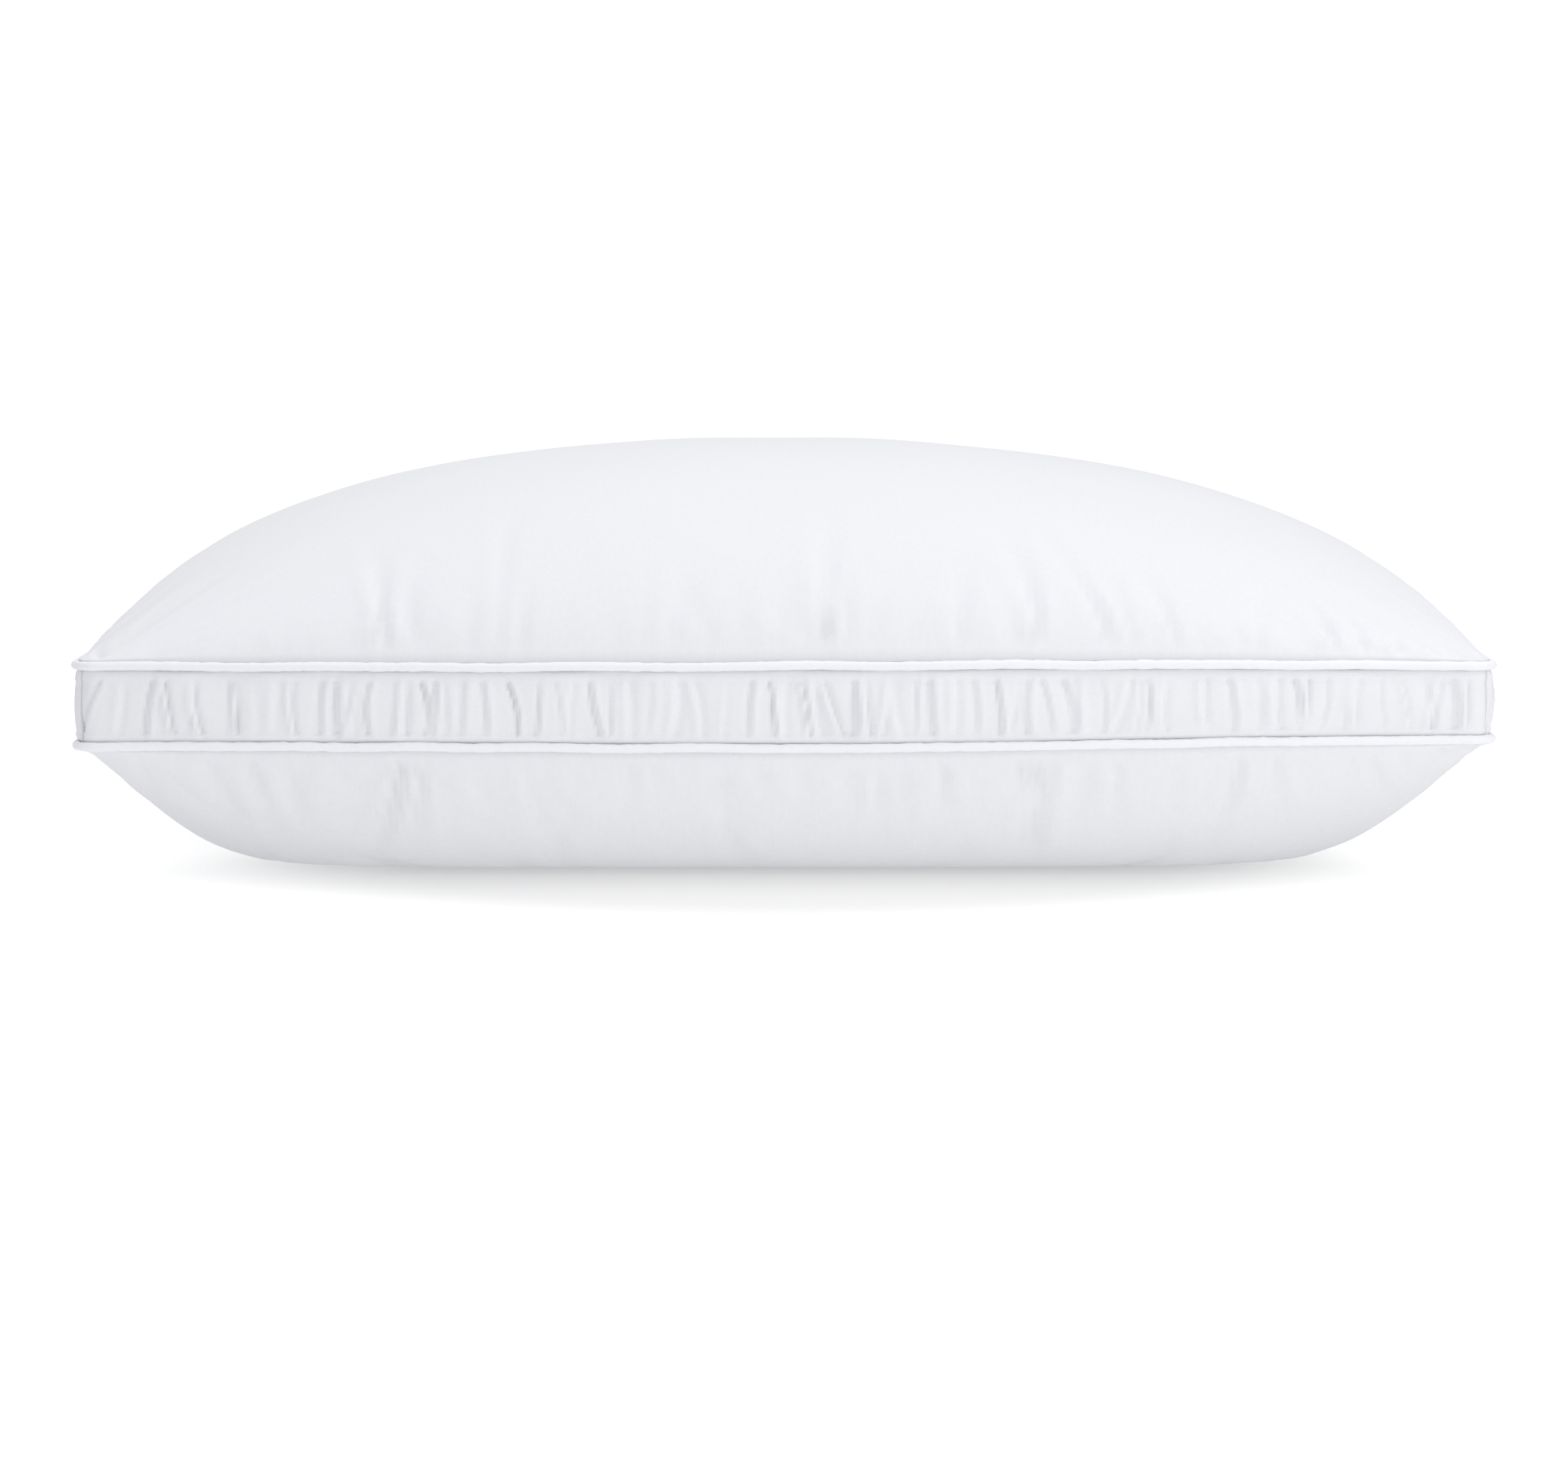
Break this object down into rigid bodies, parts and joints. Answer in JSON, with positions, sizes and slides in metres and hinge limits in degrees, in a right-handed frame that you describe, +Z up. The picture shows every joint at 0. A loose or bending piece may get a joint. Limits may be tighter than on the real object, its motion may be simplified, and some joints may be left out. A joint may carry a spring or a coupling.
{
  "type": "bed pillow",
  "caption": "White gusseted bed pillow: two swollen cotton panels, a gathered boxing band between piped seams, and a soft fibre filling.",
  "frame": {"origin": "under the middle of the pillow, on the surface it lies on", "axes": "+X along the pillow's length to the right, +Y from its front to its back, +Z up"},
  "size_m": [0.6888, 0.4886, 0.2039],
  "materials": {
    "percale_cotton": "matte",
    "piping_cotton": "matte",
    "filler_cord": "matte",
    "polyester_fibre": "matte",
    "sewing_thread": "satin",
    "satin_ribbon": "satin"
  },
  "bodies": {
    "base": {"bottom_panel": "percale_cotton", "bottom_piping_cover": "piping_cotton", "bottom_piping_cord": "filler_cord", "bottom_seam_thread": "sewing_thread", "fibre_fill": "polyester_fibre"},
    "top_edge": {"top_piping_cover": "piping_cotton", "top_piping_cord": "filler_cord", "top_seam_thread": "sewing_thread", "gusset_front": "percale_cotton", "gusset_back": "percale_cotton", "gusset_left": "percale_cotton", "gusset_right": "percale_cotton", "front_left_seam_thread": "sewing_thread", "front_right_seam_thread": "sewing_thread", "back_left_seam_thread": "sewing_thread", "back_right_seam_thread": "sewing_thread"},
    "crown": {"top_panel": "percale_cotton"},
    "label": {"care_label": "satin_ribbon"}
  },
  "joints": [
    {"name": "crown_press", "type": "slide", "parent": "base", "child": "crown", "axis": [0, 0, -1], "range_m": [0, 0.09], "stiffness_N_per_m": 900, "springref_m": -0.002, "deforming": ["top_panel", "fibre_fill"]},
    {"name": "gusset_fold", "type": "slide", "parent": "base", "child": "top_edge", "axis": [0, 0, -1], "range_m": [0, 0.03], "deforming": ["gusset_front", "gusset_back", "gusset_left", "gusset_right", "front_left_seam_thread", "front_right_seam_thread", "back_left_seam_thread", "back_right_seam_thread"]},
    {"name": "label_flip", "type": "hinge", "parent": "base", "child": "label", "pos_m": [0.215, 0.23708, 0.0652], "axis": [1, 0, 0], "range_deg": [-15, 75]}
  ],
  "couplings": [
    {"joint": "gusset_fold", "follows": "crown_press", "ratio": 0.33333}
  ]
}
